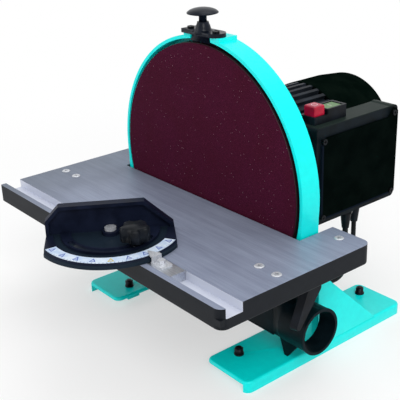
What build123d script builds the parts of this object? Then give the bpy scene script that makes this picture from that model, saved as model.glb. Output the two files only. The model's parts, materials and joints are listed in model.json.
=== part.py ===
from build123d import *
import math
import os

os.makedirs("parts", exist_ok=True)

# Driving dimensions, millimetres. Bench at z 0, disc axis along Y, +Y towards the motor.
axis_z = 195.0
disc_y = 46.0
disc_r = 152.5
abrasive_t = 1.5
plate_t = 12.0
run_fit = 0.05
gap = 0.4
wall = 2.5

# Casting
guard_r = 161.0
guard_t = 4.0
guard_front = disc_y + 2
back_front = disc_y + 22
back_rear = disc_y + 28
side_x = 160.0
leg_t = 10.0
foot_in = 90.0
foot_front = -33.0
foot_rear = 228.0
foot_t = 14.0
bolt_x = 110.0
rear_bolt_y = 207.5
foot_hole_d = 9.0
cover_spots = [(-137.0, -76.5), (-70.0, -140.4), (137.0, -76.5)]

# Table
table_top = axis_z - 33.9
table_x = 216.5
table_front = -113.8
table_back = 43.2
wing_back = 94.5
notch_x = 162.0
edge_h = 23.3
deck_t = 12.0
skirt_t = 4.5
slot_front = -106.8
slot_w = 20.0
slot_depth = 10.6
pivot_y = 49.0
pivot_z = 138.0
lock_y = 35.0
lock_z = 120.0
pin_d = 10.0
stud_d = 8.0

# Motor and switch box
motor_r = 75.0
shaft_d = 17.0
motor_front = back_rear
body_back = 216.0
cowl_back = 308.0
box_in = 86.0
box_out = 115.0
box_front = 117.0
box_back = 257.5
box_low = 138.6
box_high = 257.0

# Brake and miter gauge
brake_y = disc_y + 7
brake_z = axis_z + 162
brake_travel = 6.8
gauge_x = 12.5
gauge_y = -96.8
gauge_turn = 56.6
cord_d = 7.0


def across(y):
    """Plane across the disc axis at y, local x along X and local y up."""
    return Plane.XZ.offset(-y)


def side(x):
    """Plane at x, local x along Y and local y up."""
    return Plane.YZ.offset(x)


def save(part, label):
    part.label = label
    export_step(part, f"parts/{label}.step")


def polar(r, deg):
    return (r * math.cos(math.radians(deg)), r * math.sin(math.radians(deg)))


def arc_slot(mid, radius, start, size, width):
    """Outline of a curved slot, drawn in the current line builder."""
    half = width / 2

    def at(r, deg):
        p = polar(r, deg)
        return (mid[0] + p[0], mid[1] + p[1])

    CenterArc(mid, radius + half, start, size)
    CenterArc(mid, radius - half, start, size)
    way = math.copysign(90, size)
    for deg, turn in ((start, -way), (start + size, way)):
        tip = polar(half, deg + turn)
        centre = at(radius, deg)
        ThreePointArc(at(radius + half, deg), (centre[0] + tip[0], centre[1] + tip[1]),
                      at(radius - half, deg))


# Cast arch: round back plate, guard rim, two legs with long gussets, two feet
rim_low = axis_z - 64
leg_outline = [
    (guard_front, axis_z + 4), (guard_front, 150), (37, 138), (27, 128), (24, 120), (27, 110),
    (40, 104), (77, 90), (77, foot_t), (176.7, foot_t), (103.6, 85.1), (back_rear, 113.5),
    (back_rear, axis_z + 4),
]
with BuildPart() as base_casting:
    for s in (-1, 1):
        with BuildSketch(Plane.XY):
            with Locations((s * (foot_in + side_x) / 2, (foot_front + foot_rear) / 2)):
                RectangleRounded(side_x - foot_in, foot_rear - foot_front, 9)
        extrude(amount=foot_t)
    fillet(base_casting.edges().group_by(Axis.Z)[-1], 3)
    with BuildSketch(side(side_x - leg_t)):
        with BuildLine():
            Polyline(*leg_outline, close=True)
        make_face()
    extrude(amount=leg_t)
    mirror(about=Plane.YZ)
    with BuildSketch(across(guard_front)):
        with Locations((0, axis_z)):
            Circle(guard_r)
    extrude(amount=-(back_rear - guard_front))
    # raised pads that carry the brake housing
    with BuildSketch(across(guard_front)):
        with BuildLine():
            Polyline((-38, axis_z + 150), (-38, brake_z), (38, brake_z), (46, axis_z + 157),
                     (70, axis_z + 145), (40, axis_z + 150), close=True)
        make_face()
    extrude(amount=-(back_rear - guard_front))
    # disc recess, open lower front and the gap for the brake block
    with BuildSketch(across(foot_front)):
        with Locations((0, axis_z)):
            Circle(guard_r - guard_t)
    extrude(amount=-(back_front - foot_front), mode=Mode.SUBTRACT)
    with BuildSketch(across(guard_front - 1)):
        with Locations((0, (rim_low + foot_t + 1) / 2)):
            Rectangle(2 * (side_x - leg_t) - 0.4, rim_low - foot_t - 1)
    extrude(amount=-(back_front - guard_front + 1), mode=Mode.SUBTRACT)
    with BuildSketch(across(guard_front - 8)):
        with Locations((0, axis_z + 165)):
            Rectangle(34.8, 26)
    extrude(amount=-(back_front - guard_front + 8), mode=Mode.SUBTRACT)
    with BuildSketch(across(back_front - 1)):
        with Locations((0, axis_z)):
            Circle(24)
    extrude(amount=-10, mode=Mode.SUBTRACT)
    with Locations((-27.5, brake_y, brake_z), (27.5, brake_y, brake_z)):
        Cylinder(1.9, 16, mode=Mode.SUBTRACT)
    # four ribs behind the back plate
    with BuildSketch(across(back_rear)):
        for turn in range(45, 405, 90):
            with Locations(Location((0, axis_z), turn)):
                with Locations((118, 0)):
                    Rectangle(76, 6)
    extrude(amount=-10)
    for x, z in cover_spots:
        with BuildSketch(across(back_front - 1)):
            with Locations((x, axis_z + z)):
                Circle(1.75)
        extrude(amount=-10, mode=Mode.SUBTRACT)
    # pivot boss and lock boss on each leg, with bores
    for s in (-1, 1):
        with BuildSketch(side(s * side_x)):
            with Locations((pivot_y, pivot_z)):
                Circle(9)
        extrude(amount=s * 5)
        with BuildSketch(side(s * (side_x - leg_t - 1))):
            with Locations((pivot_y, pivot_z)):
                Circle(pin_d / 2)
            with Locations((lock_y, lock_z)):
                Circle(stud_d / 2)
        extrude(amount=s * 20, mode=Mode.SUBTRACT)
        with Locations((s * bolt_x, 0, foot_t / 2), (s * bolt_x, rear_bolt_y, foot_t / 2)):
            Cylinder(foot_hole_d / 2, foot_t + 2, mode=Mode.SUBTRACT)
print("casting solids", len(base_casting.part.solids()), round(base_casting.part.volume))
save(base_casting.part, "base_casting")

# Black lower cover: half pan in front of the disc, duct and straight dust port
cover_front = disc_y - 9
cover_r = 163.0
cover_top = 128.0
duct_low = 32.0
duct_high = 85.0
duct_x = 128.0
tube_start = 150.0
tube_end = 188.5
port_y = 49.6
port_z = 58.0
port_r = 26.9
port_bore = 24.0
duct_mid = (cover_front + back_front - 0.3) / 2
duct_w = back_front - 0.3 - cover_front
with BuildPart() as port_duct:
    for less, radius, mode in ((0, port_r, Mode.ADD), (wall, port_bore, Mode.SUBTRACT)):
        with BuildSketch(side(duct_x)):
            with Locations((duct_mid, (duct_low + duct_high) / 2)):
                RectangleRounded(duct_w - 2 * less, duct_high - duct_low - 2 * less,
                                 4 - less / 2)
        with BuildSketch(side(tube_start)):
            with Locations((port_y, port_z)):
                Circle(radius)
        loft(mode=mode)
    with BuildSketch(side(tube_start)):
        with Locations((port_y, port_z)):
            Circle(port_r)
            Circle(port_bore, mode=Mode.SUBTRACT)
    extrude(amount=tube_end - tube_start)
    with BuildSketch(side(tube_end - 3)):
        with Locations((port_y, port_z)):
            Circle(port_r + 0.6)
            Circle(port_bore, mode=Mode.SUBTRACT)
    extrude(amount=3)
with BuildPart() as lower_cover:
    with BuildSketch(across(cover_front)):
        with Locations((0, axis_z)):
            Circle(cover_r)
        with Locations((0, cover_top + 200)):
            Rectangle(400, 400, mode=Mode.SUBTRACT)
        with Locations((duct_x / 2, (duct_low + duct_high) / 2)):
            Rectangle(duct_x, duct_high - duct_low)
    extrude(amount=-(back_front - 0.3 - cover_front))
    with BuildSketch(across(cover_front + wall)):
        with Locations((0, axis_z)):
            Circle(cover_r - wall)
        with Locations((duct_x / 2, (duct_low + duct_high) / 2)):
            Rectangle(duct_x + 1, duct_high - duct_low - 2 * wall)
    extrude(amount=-40, mode=Mode.SUBTRACT)
    add(port_duct.part)
    # three-cornered foot under the tube, standing on the casting's foot
    with BuildSketch(across(cover_front)):
        with BuildLine():
            Polyline((138, 36), (146, foot_t + 0.3), (151, foot_t + 0.3), (168, 36), close=True)
        make_face()
    extrude(amount=-3)
    for x, z in cover_spots:
        with BuildSketch(across(cover_front)):
            with Locations((x, axis_z + z)):
                Circle(3.6)
        extrude(amount=-(back_front - cover_front))
        with BuildSketch(across(cover_front - 1)):
            with Locations((x, axis_z + z)):
                Circle(1.9)
        extrude(amount=-40, mode=Mode.SUBTRACT)
print("cover solids", len(lower_cover.part.solids()), round(lower_cover.part.volume))
save(lower_cover.part, "lower_cover")

with BuildPart() as cover_screws:
    for x, z in cover_spots:
        with BuildSketch(across(cover_front)):
            with Locations((x, axis_z + z)):
                Circle(1.75)
        extrude(amount=-(back_rear - cover_front))
        with BuildSketch(across(cover_front)):
            with Locations((x, axis_z + z)):
                Circle(3.5)
                Rectangle(4, 1, mode=Mode.SUBTRACT)
                Rectangle(1, 4, mode=Mode.SUBTRACT)
        extrude(amount=2)
save(cover_screws.part, "cover_screws")

# Disc, abrasive, hub with key and set screw
hub_r = 28.0
hub_rear = back_front - 1.5
plate_front = disc_y + abrasive_t
plate_rear = plate_front + plate_t
shaft_front = plate_front + 3
with BuildPart() as disc_plate:
    with BuildSketch(across(plate_front)):
        with Locations((0, axis_z)):
            Circle(disc_r)
    extrude(amount=-plate_t)
    with BuildSketch(across(plate_rear)):
        with Locations((0, axis_z)):
            Circle(hub_r)
    extrude(amount=-(hub_rear - plate_rear))
    with BuildSketch(across(plate_rear - 5)):
        with Locations((0, axis_z)):
            Circle(disc_r - 8)
            Circle(hub_r + 8, mode=Mode.SUBTRACT)
            for turn in range(0, 180, 30):
                Rectangle(2 * disc_r, 6, rotation=turn, mode=Mode.SUBTRACT)
    extrude(amount=-6, mode=Mode.SUBTRACT)
    with BuildSketch(across(shaft_front)):
        with Locations((0, axis_z)):
            Circle(shaft_d / 2)
        with Locations((0, axis_z + shaft_d / 2)):
            Rectangle(5, 5)
    extrude(amount=-30, mode=Mode.SUBTRACT)
    with Locations(Location((0, (plate_rear + hub_rear) / 2, axis_z - hub_r / 2), (0, 0, 0))):
        Cylinder(2.5, hub_r + 4, mode=Mode.SUBTRACT)
    front_rim = disc_plate.edges().filter_by(GeomType.CIRCLE).filter_by(
        lambda e: e.radius > disc_r - 0.01 and e.center().Y < plate_front + 0.01)
    chamfer(front_rim, 0.6)
save(disc_plate.part, "disc_plate")

with BuildPart() as abrasive_disc:
    with BuildSketch(across(disc_y)):
        with Locations((0, axis_z)):
            Circle(disc_r - 0.6)
    extrude(amount=-abrasive_t)
save(abrasive_disc.part, "abrasive_disc")

with BuildPart() as disc_key:
    with Locations((0, (shaft_front + hub_rear) / 2, axis_z + shaft_d / 2)):
        Box(5, hub_rear - shaft_front - 1, 5)
save(disc_key.part, "disc_key")

with BuildPart() as disc_set_screw:
    with Locations((0, (plate_rear + hub_rear) / 2, axis_z - shaft_d / 2 - 6)):
        Cylinder(2.5, 11.8)
    with BuildSketch(Plane.XY.offset(axis_z - shaft_d / 2 - 12)):
        with Locations((0, (plate_rear + hub_rear) / 2)):
            RegularPolygon(1.3, 6)
    extrude(amount=3, mode=Mode.SUBTRACT)
save(disc_set_screw.part, "disc_set_screw")

# Motor: shaft, two bearings, rotor, stator with end windings, ribbed body and end shields
bearing_r = 20.0
bearing_w = 12.0
front_bearing_y = motor_front + 4
rear_bearing_y = 200.0
core_front = 112.0
core_back = 178.0
rotor_r = 35.0
core_r = 61.0
fan_y = 228.0
with BuildPart() as motor_shaft:
    with BuildSketch(across(shaft_front)):
        with Locations((0, axis_z)):
            Circle(shaft_d / 2)
    extrude(amount=-(254 - shaft_front))
    with BuildSketch(across(core_front - 6)):
        with Locations((0, axis_z)):
            Circle(shaft_d / 2 + 3)
    extrude(amount=-(core_back - core_front + 12))
    with Locations((0, (shaft_front + hub_rear) / 2, axis_z + shaft_d / 2)):
        Box(5, hub_rear - shaft_front - 1, 5, mode=Mode.SUBTRACT)
    chamfer(motor_shaft.edges().filter_by(GeomType.CIRCLE).group_by(Axis.Y)[-1], 1)
save(motor_shaft.part, "motor_shaft")


def bearing(label, y):
    with BuildPart() as race:
        with BuildSketch(across(y)):
            with Locations((0, axis_z)):
                Circle(bearing_r)
                Circle(shaft_d / 2, mode=Mode.SUBTRACT)
        extrude(amount=-bearing_w)
        for face_y, way in ((y, -1), (y + bearing_w, 1)):
            with BuildSketch(across(face_y)):
                with Locations((0, axis_z)):
                    Circle(16.5)
                    Circle(12, mode=Mode.SUBTRACT)
            extrude(amount=way, mode=Mode.SUBTRACT)
    save(race.part, label)


bearing("front_bearing", front_bearing_y)
bearing("rear_bearing", rear_bearing_y)

with BuildPart() as rotor_core:
    with BuildSketch(across(core_front)):
        with Locations((0, axis_z)):
            Circle(rotor_r)
            Circle(shaft_d / 2 + 3, mode=Mode.SUBTRACT)
            with PolarLocations(rotor_r - 4, 24):
                Circle(1.6, mode=Mode.SUBTRACT)
    extrude(amount=-(core_back - core_front))
save(rotor_core.part, "rotor_core")

with BuildPart() as stator_core:
    with BuildSketch(across(core_front)):
        with Locations((0, axis_z)):
            Circle(core_r)
            Circle(rotor_r + 0.5, mode=Mode.SUBTRACT)
            with PolarLocations(rotor_r + 8.5, 24):
                SlotOverall(12, 4.6, mode=Mode.SUBTRACT)
    extrude(amount=-(core_back - core_front))
save(stator_core.part, "stator_core")

with BuildPart() as windings:
    for y, way in ((core_front, 1), (core_back, -1)):
        with BuildSketch(across(y)):
            with Locations((0, axis_z)):
                Circle(56)
                Circle(rotor_r + 3, mode=Mode.SUBTRACT)
        extrude(amount=way * 14)
    for y in (core_front - 14, core_back + 14):
        ring = windings.edges().filter_by(GeomType.CIRCLE).filter_by(
            lambda e, y=y: abs(e.center().Y - y) < 0.01)
        fillet(ring, 4)
save(windings.part, "windings")

shield_t = 12.0
with BuildPart() as front_shield:
    with BuildSketch(across(motor_front)):
        with Locations((0, axis_z)):
            Circle(motor_r)
            Circle(bearing_r, mode=Mode.SUBTRACT)
    extrude(amount=-shield_t)
    with BuildSketch(across(motor_front)):
        with Locations((0, axis_z)):
            Circle(bearing_r + 7)
            Circle(bearing_r, mode=Mode.SUBTRACT)
    extrude(amount=-(bearing_w + 6))
    with BuildSketch(across(motor_front)):
        with Locations((0, axis_z)):
            Circle(23.9)
            Circle(shaft_d / 2 + 1, mode=Mode.SUBTRACT)
    extrude(amount=5)
    with BuildSketch(across(motor_front)):
        with Locations((0, axis_z)):
            Circle(bearing_r + 3)
            Circle(shaft_d / 2 + 1, mode=Mode.SUBTRACT)
    extrude(amount=-4)
save(front_shield.part, "front_shield")

body_front = motor_front + shield_t
with BuildPart() as motor_body:
    with BuildSketch(across(body_front)):
        with Locations((0, axis_z)):
            Circle(motor_r - 6)
            for turn in range(0, 180, 9):
                Rectangle(2 * motor_r - 1, 4.4, rotation=turn)
            Circle(core_r, mode=Mode.SUBTRACT)
    extrude(amount=-(body_back - body_front))
    # flat seat for the switch box and a drilled flank for the lead
    with BuildSketch(Plane.XY.offset(155)):
        with Locations((68, 166)):
            RectangleRounded(36, 92, 6)
    extrude(amount=86)
    with BuildSketch(Plane.XY.offset(121)):
        with Locations((26, 205)):
            RectangleRounded(24, 21, 3)
    extrude(amount=24)
    with BuildSketch(across(body_front - 1)):
        with Locations((0, axis_z)):
            Circle(core_r)
    extrude(amount=-150, mode=Mode.SUBTRACT)
    with Locations((26, 205, 121)):
        Cylinder(7.05, 12, mode=Mode.SUBTRACT)
save(motor_body.part, "motor_body")

with BuildPart() as rear_shield:
    with BuildSketch(across(rear_bearing_y - 2)):
        with Locations((0, axis_z)):
            Circle(core_r - run_fit)
            Circle(bearing_r, mode=Mode.SUBTRACT)
            with PolarLocations(44, 8):
                Circle(6, mode=Mode.SUBTRACT)
    extrude(amount=-12)
    with BuildSketch(across(rear_bearing_y + bearing_w)):
        with Locations((0, axis_z)):
            Circle(bearing_r + 6)
            Circle(shaft_d / 2 + 1, mode=Mode.SUBTRACT)
    extrude(amount=-3)
    with BuildSketch(across(rear_bearing_y + 6)):
        with Locations((0, axis_z)):
            Circle(bearing_r + 6)
            Circle(bearing_r, mode=Mode.SUBTRACT)
    extrude(amount=-6)
save(rear_shield.part, "rear_shield")

with BuildPart() as cooling_fan:
    with BuildSketch(across(fan_y)):
        with Locations((0, axis_z)):
            Circle(58)
            Circle(shaft_d / 2, mode=Mode.SUBTRACT)
    extrude(amount=-3)
    with BuildSketch(across(fan_y)):
        with Locations((0, axis_z)):
            Circle(15)
            Circle(shaft_d / 2, mode=Mode.SUBTRACT)
    extrude(amount=-24)
    with BuildSketch(across(fan_y + 3)):
        with Locations((0, axis_z)):
            with PolarLocations(36, 9):
                Rectangle(43, 2.4)
    extrude(amount=-20)
save(cooling_fan.part, "cooling_fan")

motor_axis = Axis((0, 0, axis_z), (0, 1, 0))
with BuildPart() as fan_cowl:
    with BuildSketch(Plane.XY.offset(axis_z)):
        with BuildLine():
            Polyline((0, body_back), (motor_r, body_back), (motor_r, 268), (72, 300),
                     (64, cowl_back), (0, cowl_back), close=True)
        make_face()
    revolve(axis=motor_axis)
    cone_rim = fan_cowl.edges().filter_by(GeomType.CIRCLE).filter_by(
        lambda e: e.center().Y > 280 and e.radius > 60)
    fillet(cone_rim, 4)
    with BuildSketch(Plane.XY.offset(axis_z)):
        with BuildLine():
            Polyline((0, body_back - 1), (motor_r - 2.4, body_back - 1), (motor_r - 2.4, 267),
                     (69.6, 299), (0, cowl_back - 2.5), close=True)
        make_face()
    revolve(axis=motor_axis, mode=Mode.SUBTRACT)
    with BuildSketch(across(cowl_back - 12)):
        with Locations((0, axis_z)):
            for ring, count in ((14, 8), (26, 14), (38, 20), (50, 26)):
                with PolarLocations(ring, count):
                    SlotOverall(8, 3.4)
    extrude(amount=-20, mode=Mode.SUBTRACT)
save(fan_cowl.part, "fan_cowl")

# Switch box beside the motor, its cover, switch with two buttons, capacitor inside
box_wall = 3.0
lid_spots = [(126, 148), (248, 148), (126, 241), (247, 249)]
gland_mains = (104.0, 182.5)
gland_lead = (98.0, 205.0)
lead_x = 26.0
with BuildPart() as switch_box:
    with BuildSketch(side(box_in)):
        with Locations(((box_front + box_back) / 2, (box_low + box_high) / 2)):
            RectangleRounded(box_back - box_front, box_high - box_low, 6)
        with Locations((247, 249)):
            Circle(9.2)
    extrude(amount=box_out - box_in)
    with BuildSketch(side(box_in + box_wall)):
        with Locations(((box_front + box_back) / 2, (box_low + box_high) / 2)):
            RectangleRounded(box_back - box_front - 2 * box_wall,
                             box_high - box_low - 2 * box_wall, 4)
    extrude(amount=box_out - box_in - box_wall - 3.5, mode=Mode.SUBTRACT)
    with BuildSketch(side(box_out)):
        with Locations((189, 194.5)):
            RectangleRounded(124, 91, 8)
    extrude(amount=-8, mode=Mode.SUBTRACT)
    with BuildSketch(side(box_in + box_wall)):
        with Locations(*lid_spots):
            Circle(4.6)
    extrude(amount=box_out - box_in - box_wall)
    with BuildSketch(side(box_out)):
        with Locations(*lid_spots):
            Circle(1.8)
    extrude(amount=-16, mode=Mode.SUBTRACT)
    for x, y in (gland_mains, gland_lead):
        with Locations((x, y, box_low)):
            Cylinder(7.05, 14, mode=Mode.SUBTRACT)
    with Locations((97, 150.5, box_high)):
        Box(14.4, 44.4, 14, mode=Mode.SUBTRACT)
save(switch_box.part, "switch_box")

with BuildPart() as box_cover:
    with BuildSketch(side(box_out)) as lid_face:
        with BuildLine():
            Polyline((123.4, 145), (123.4, 235), (132.4, 244), (239, 244), (250, 255.5),
                     (255, 250), (255, 145), close=True)
        make_face()
        fillet(lid_face.vertices(), 2.5)
    extrude(amount=3)
    with BuildSketch(side(box_out)):
        with Locations(*lid_spots):
            Circle(2)
    extrude(amount=10, mode=Mode.SUBTRACT)
save(box_cover.part, "box_cover")

with BuildPart() as box_screws:
    for y, z in lid_spots:
        with BuildSketch(side(box_out - 12)):
            with Locations((y, z)):
                Circle(1.7)
        extrude(amount=15)
        with BuildSketch(side(box_out + 3)):
            with Locations((y, z)):
                Circle(3.4)
                Rectangle(4, 0.9, mode=Mode.SUBTRACT)
                Rectangle(0.9, 4, mode=Mode.SUBTRACT)
        extrude(amount=2)
save(box_screws.part, "box_screws")

switch_z = box_high
switch_front = 124.0
switch_back = 177.0
button_w = 17.0
stop_mid = 134.8
start_mid = 160.0
pin_x = 97.0
with BuildPart() as switch_body:
    with BuildSketch(Plane.XY.offset(switch_z)):
        with Locations((93.5, 150.5)):
            RectangleRounded(23, switch_back - switch_front, 2)
    extrude(amount=9)
    with BuildSketch(Plane.XY.offset(switch_z + 9)):
        with Locations((93.5, 161)):
            RectangleRounded(23, 32, 2)
    extrude(amount=6)
    with BuildSketch(Plane.XY.offset(switch_z - 34)):
        with Locations((97, 150.5)):
            RectangleRounded(14, 38, 1.5)
    extrude(amount=34)
    with BuildSketch(Plane.XY.offset(switch_z + 1)):
        with Locations((93.5, stop_mid)):
            Rectangle(button_w + 0.6, 17.6)
        with Locations((93.5, start_mid)):
            Rectangle(button_w + 0.6, 25.6)
    extrude(amount=40, mode=Mode.SUBTRACT)
    with BuildSketch(Plane.XY.offset(switch_z - 16)):
        with Locations((pin_x, stop_mid), (pin_x, start_mid)):
            Circle(3 + run_fit)
    extrude(amount=20, mode=Mode.SUBTRACT)
save(switch_body.part, "switch_body")


def button(label, y, length, low, high, slope):
    """One push button with a guide pin, its top rounded."""
    with BuildPart() as cap:
        with BuildSketch(Plane.XY.offset(low)):
            with Locations((93.5, y)):
                RectangleRounded(button_w, length, 1.5)
        extrude(amount=high - low)
        fillet(cap.faces().sort_by(Axis.Z)[-1].edges(), slope)
        with BuildSketch(Plane.XY.offset(low - 12)):
            with Locations((pin_x, y)):
                Circle(3)
        extrude(amount=13)
    save(cap.part, label)


button("stop_button", stop_mid, 17, switch_z + 4.4, switch_z + 20.5, 2.2)
button("start_button", start_mid, 25, switch_z + 4.4, switch_z + 14.4, 1.0)

with BuildPart() as run_capacitor:
    with BuildSketch(across(196)):
        with Locations((100.5, 205)):
            Circle(11.5)
    extrude(amount=-50)
    fillet(run_capacitor.edges().filter_by(GeomType.CIRCLE), 1.5)
save(run_capacitor.part, "run_capacitor")


def gland(label, x, y, z, way):
    """Cable gland with flange, hex nut and a tapered bend relief, hanging down from z."""
    with BuildPart() as relief:
        with BuildSketch(Plane.XY.offset(z + 6)):
            with Locations((x, y)):
                Circle(7)
        extrude(amount=-6)
        with BuildSketch(Plane.XY.offset(z)):
            with Locations((x, y)):
                RegularPolygon(9, 6)
        extrude(amount=-5)
        with BuildSketch(Plane.XY.offset(z - 5)):
            with Locations((x, y)):
                Circle(6.8)
        with BuildSketch(Plane.XY.offset(z - 5 - way)):
            with Locations((x, y)):
                Circle(cord_d / 2 + 1)
        loft()
    save(relief.part, label)


relief_l = 20.0
gland("mains_gland", gland_mains[0], gland_mains[1], box_low, relief_l)
gland("lead_gland", gland_lead[0], gland_lead[1], box_low, relief_l)
motor_gland_z = 121.0
gland("motor_gland", lead_x, gland_lead[1], motor_gland_z, 12)

# Lead from the box to the motor, one U held at both ends
lead_d = 6.0
lead_top = box_low - 5 - relief_l
lead_low = 62.0
with BuildPart() as motor_lead:
    with BuildLine() as lead_route:
        FilletPolyline((gland_lead[0], gland_lead[1], lead_top),
                       (gland_lead[0], gland_lead[1], lead_low),
                       (lead_x, gland_lead[1], lead_low),
                       (lead_x, gland_lead[1], motor_gland_z - 17), radius=32)
    with BuildSketch(Plane.XY.offset(lead_top)):
        with Locations((gland_lead[0], gland_lead[1])):
            Circle(lead_d / 2)
    sweep(path=lead_route.line)
save(motor_lead.part, "motor_lead")

# Mains cord: free stretch from the gland to the bench, then a flat put-away coil
coil_x = -20.0
coil_y = 150.0
coil_out = 50.0
coil_pitch = 7.8
coil_turns = 6.5
coil_low = 4.6
free_top = (gland_mains[0], gland_mains[1], box_low - 5 - relief_l)
free_points = [free_top, (gland_mains[0], gland_mains[1], 78), (90, 198, 34),
               (50, coil_y + coil_out, coil_low), (coil_x, coil_y + coil_out, coil_low)]


def leg_vector(a, b):
    return [b[i] - a[i] for i in range(3)]


def length_of(v):
    return math.sqrt(sum(c * c for c in v))


free_radii = []
for a, b, c in zip(free_points, free_points[1:], free_points[2:]):
    u, v = leg_vector(a, b), leg_vector(b, c)
    cosine = sum(p * q for p, q in zip(u, v)) / length_of(u) / length_of(v)
    half = math.acos(cosine) / 2
    free_radii.append(0.45 * min(length_of(u), length_of(v)) / math.tan(half))
print("free cord radii", [round(r, 1) for r in free_radii])
with BuildPart() as mains_cord:
    with BuildLine() as free_route:
        FilletPolyline(*free_points, radius=free_radii)
    with BuildSketch(Plane(origin=free_top, z_dir=leg_vector(free_top, free_points[1]))):
        Circle(cord_d / 2)
    sweep(path=free_route.line)
free_len = sum(e.length for e in free_route.edges())
section = math.pi * cord_d ** 2 / 4
print("free cord", round(free_len, 1), "volume ratio",
      round(mains_cord.part.volume / section / free_len, 4))
save(mains_cord.part, "mains_cord")


def coil_point(t):
    """Place on the coil after t turns: in on the lower layer, out on the upper one."""
    half = coil_turns / 2
    inward = t if t < half else coil_turns - t
    r = coil_out - coil_pitch * inward
    climb = min(1.0, max(0.0, (t - half + 0.25) / 0.5))
    lift = coil_pitch * (3 * climb ** 2 - 2 * climb ** 3)
    angle = math.radians(90 + 360 * t)
    return (coil_x + r * math.cos(angle), coil_y + r * math.sin(angle), coil_low + lift)


def coil_way(t):
    """Unit direction of travel on the coil after t turns."""
    a = coil_point(max(0.0, t - 0.02))
    b = coil_point(min(coil_turns, t + 0.02))
    v = leg_vector(a, b)
    if t == 0.0:
        v = [-1, 0, 0]
    if t == coil_turns:
        v = [1, 0, 0]
    size = length_of(v)
    return [c / size for c in v]


tail = 12.0
boot_l = 32.0
plug_l = 28.0
steps = int(coil_turns * 4)
with BuildPart() as mains_cord_coil:
    with BuildLine() as coil_route:
        for k in range(steps):
            p, q = coil_point(k / 4), coil_point((k + 1) / 4)
            u, w = coil_way(k / 4), coil_way((k + 1) / 4)
            v = leg_vector(p, q)
            both = [u[i] + w[i] for i in range(3)]
            lean = sum(v[i] * both[i] for i in range(3))
            slack = 2 * (1 - sum(u[i] * w[i] for i in range(3)))
            reach = (math.sqrt(lean ** 2 + slack * length_of(v) ** 2) - lean) / slack
            ahead = [p[i] + reach * u[i] for i in range(3)]
            behind = [q[i] - reach * w[i] for i in range(3)]
            middle = tuple((ahead[i] + behind[i]) / 2 for i in range(3))
            TangentArc(p, middle, tangent=u)
            TangentArc(middle, q, tangent=leg_vector(ahead, behind))
        end = coil_point(coil_turns)
        Line(end, (end[0] + tail, end[1], end[2]))
    with BuildSketch(Plane(origin=coil_point(0), z_dir=(-1, 0, 0))):
        Circle(cord_d / 2)
    sweep(path=coil_route.line)
coil_len = sum(e.length for e in coil_route.edges())
print("coil", round(coil_len, 1), "volume ratio",
      round(mains_cord_coil.part.volume / section / coil_len, 4))
save(mains_cord_coil.part, "mains_cord_coil")
samples = [coil_point(k * coil_turns / 900) for k in range(901)]
least = min(math.dist(samples[i], samples[j]) for i in range(0, 901, 2)
            for j in range(i + 60, 901)) - cord_d
print("coil least self-gap", round(least, 2))

coil_in = coil_out - coil_pitch * coil_turns / 2
tie_mid = coil_x + (coil_out + coil_in) / 2
with BuildPart() as cord_tie:
    with BuildSketch(across(coil_y - 4)):
        with Locations((tie_mid, coil_low + coil_pitch / 2)):
            RectangleRounded(coil_out - coil_in + cord_d + 1.8, coil_pitch + cord_d + 1.8, 4)
            RectangleRounded(coil_out - coil_in + cord_d, coil_pitch + cord_d, 3.2,
                             mode=Mode.SUBTRACT)
    extrude(amount=-8)
save(cord_tie.part, "cord_tie")

plug_x = coil_x + tail
plug_y = coil_y - coil_out
plug_z = coil_low + coil_pitch
with BuildPart() as mains_plug:
    with BuildSketch(side(plug_x)):
        with Locations((plug_y, plug_z)):
            Circle(cord_d / 2 + 1)
    with BuildSketch(side(plug_x + boot_l)):
        with Locations((plug_y, plug_z)):
            Circle(8)
    loft()
    with BuildSketch(side(plug_x + boot_l)):
        with Locations((plug_y, plug_z)):
            RectangleRounded(36, 2 * plug_z, 8)
    extrude(amount=plug_l)
    fillet(mains_plug.faces().sort_by(Axis.X)[-1].edges(), 1)
    with BuildSketch(side(plug_x + boot_l + plug_l - 7)):
        with Locations((plug_y - 9.5, plug_z), (plug_y + 9.5, plug_z)):
            Circle(2.4)
    extrude(amount=10, mode=Mode.SUBTRACT)
save(mains_plug.part, "mains_plug")

with BuildPart() as plug_pins:
    with BuildSketch(side(plug_x + boot_l + plug_l - 7)):
        with Locations((plug_y - 9.5, plug_z), (plug_y + 9.5, plug_z)):
            Circle(2.4)
    extrude(amount=7 + 19)
    fillet(plug_pins.edges().group_by(Axis.X)[-1], 1)
save(plug_pins.part, "plug_pins")

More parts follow.
